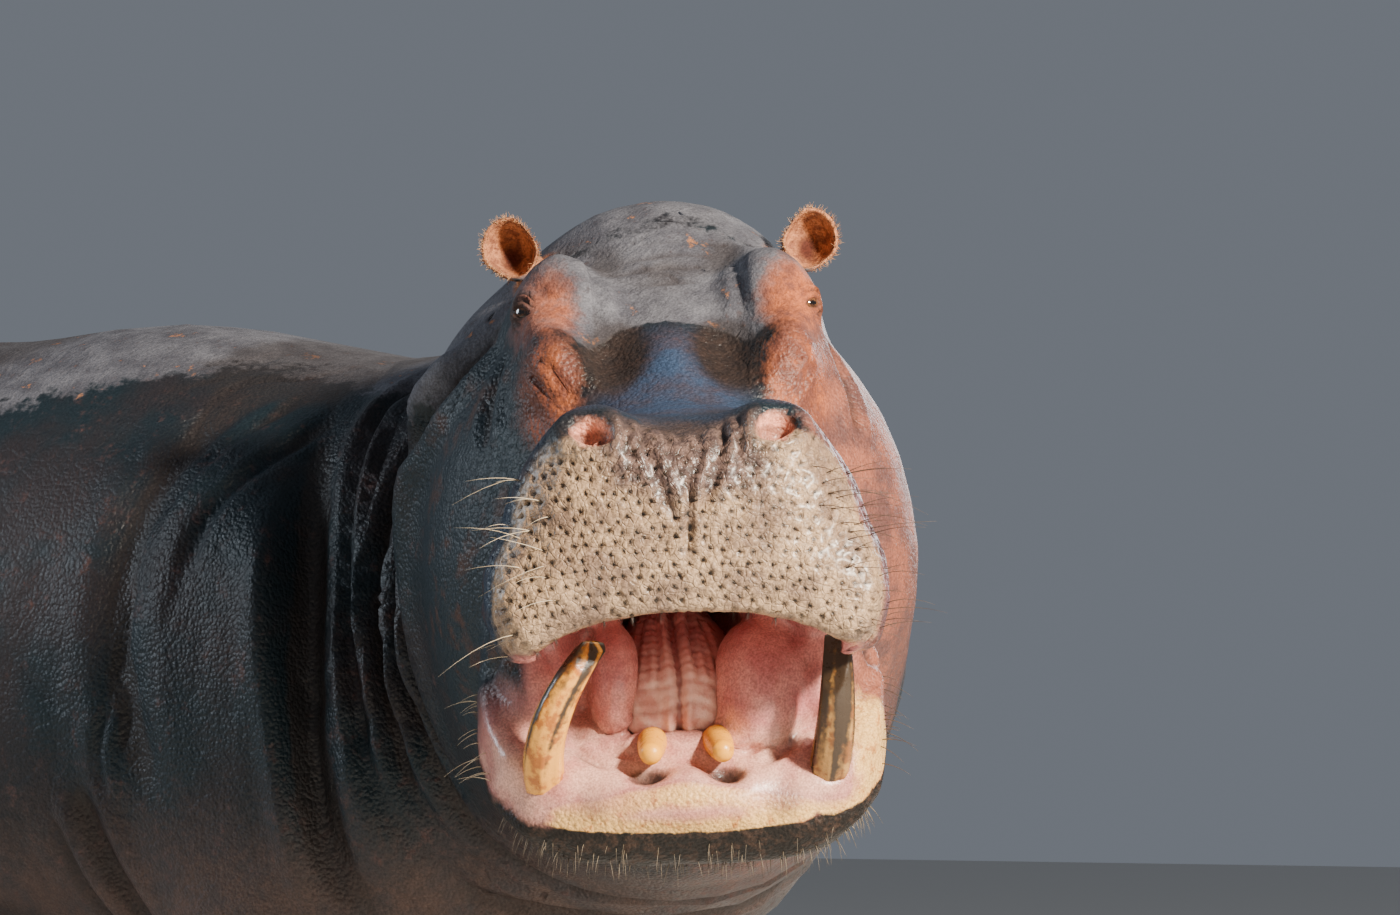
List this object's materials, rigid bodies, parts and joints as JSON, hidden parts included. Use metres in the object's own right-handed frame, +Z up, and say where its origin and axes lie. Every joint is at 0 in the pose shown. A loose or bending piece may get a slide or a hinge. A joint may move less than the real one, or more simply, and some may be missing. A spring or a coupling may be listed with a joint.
{
  "type": "hippopotamus",
  "caption": "Life-size still model of a hippopotamus bull, standing with its head turned to its right and its mouth half open, showing tusks and tongue.",
  "frame": {"origin": "middle of the bounding box's underside, on the floor the animal stands on", "axes": "+Z up, -Y the way the body faces, +X to the animal's left; the head is turned about 50 degrees to its right"},
  "size_m": [1.5982, 3.4464, 1.6525],
  "materials": {
    "hide": "damp, finely cracked bare hide",
    "face_hide": "wet pebbled hide",
    "ear_hide": "thin orange-brown hide, matt",
    "eye": "wet and glossy",
    "tongue": "wet flesh",
    "ivory": "stained ivory, smooth",
    "nail": "dull horn"
  },
  "bodies": {
    "root": {"trunk": "hide", "neck": "hide", "foreleg_left": "hide", "foreleg_right": "hide", "hindleg_left": "hide", "hindleg_right": "hide", "forefoot_left": "hide", "forefoot_right": "hide", "hindfoot_left": "hide", "hindfoot_right": "hide", "tail": "hide", "head": "face_hide", "lower_jaw": "face_hide", "ear_left": "ear_hide", "ear_right": "ear_hide", "eye_left": "eye", "eye_right": "eye", "tongue": "tongue", "tusk_left": "ivory", "tusk_right": "ivory", "incisor_left": "ivory", "incisor_right": "ivory", "toenail_fore_left_1": "nail", "toenail_fore_left_2": "nail", "toenail_fore_left_3": "nail", "toenail_fore_left_4": "nail", "toenail_fore_right_1": "nail", "toenail_fore_right_2": "nail", "toenail_fore_right_3": "nail", "toenail_fore_right_4": "nail", "toenail_hind_left_1": "nail", "toenail_hind_left_2": "nail", "toenail_hind_left_3": "nail", "toenail_hind_left_4": "nail", "toenail_hind_right_1": "nail", "toenail_hind_right_2": "nail", "toenail_hind_right_3": "nail", "toenail_hind_right_4": "nail"}
  },
  "joints": []
}
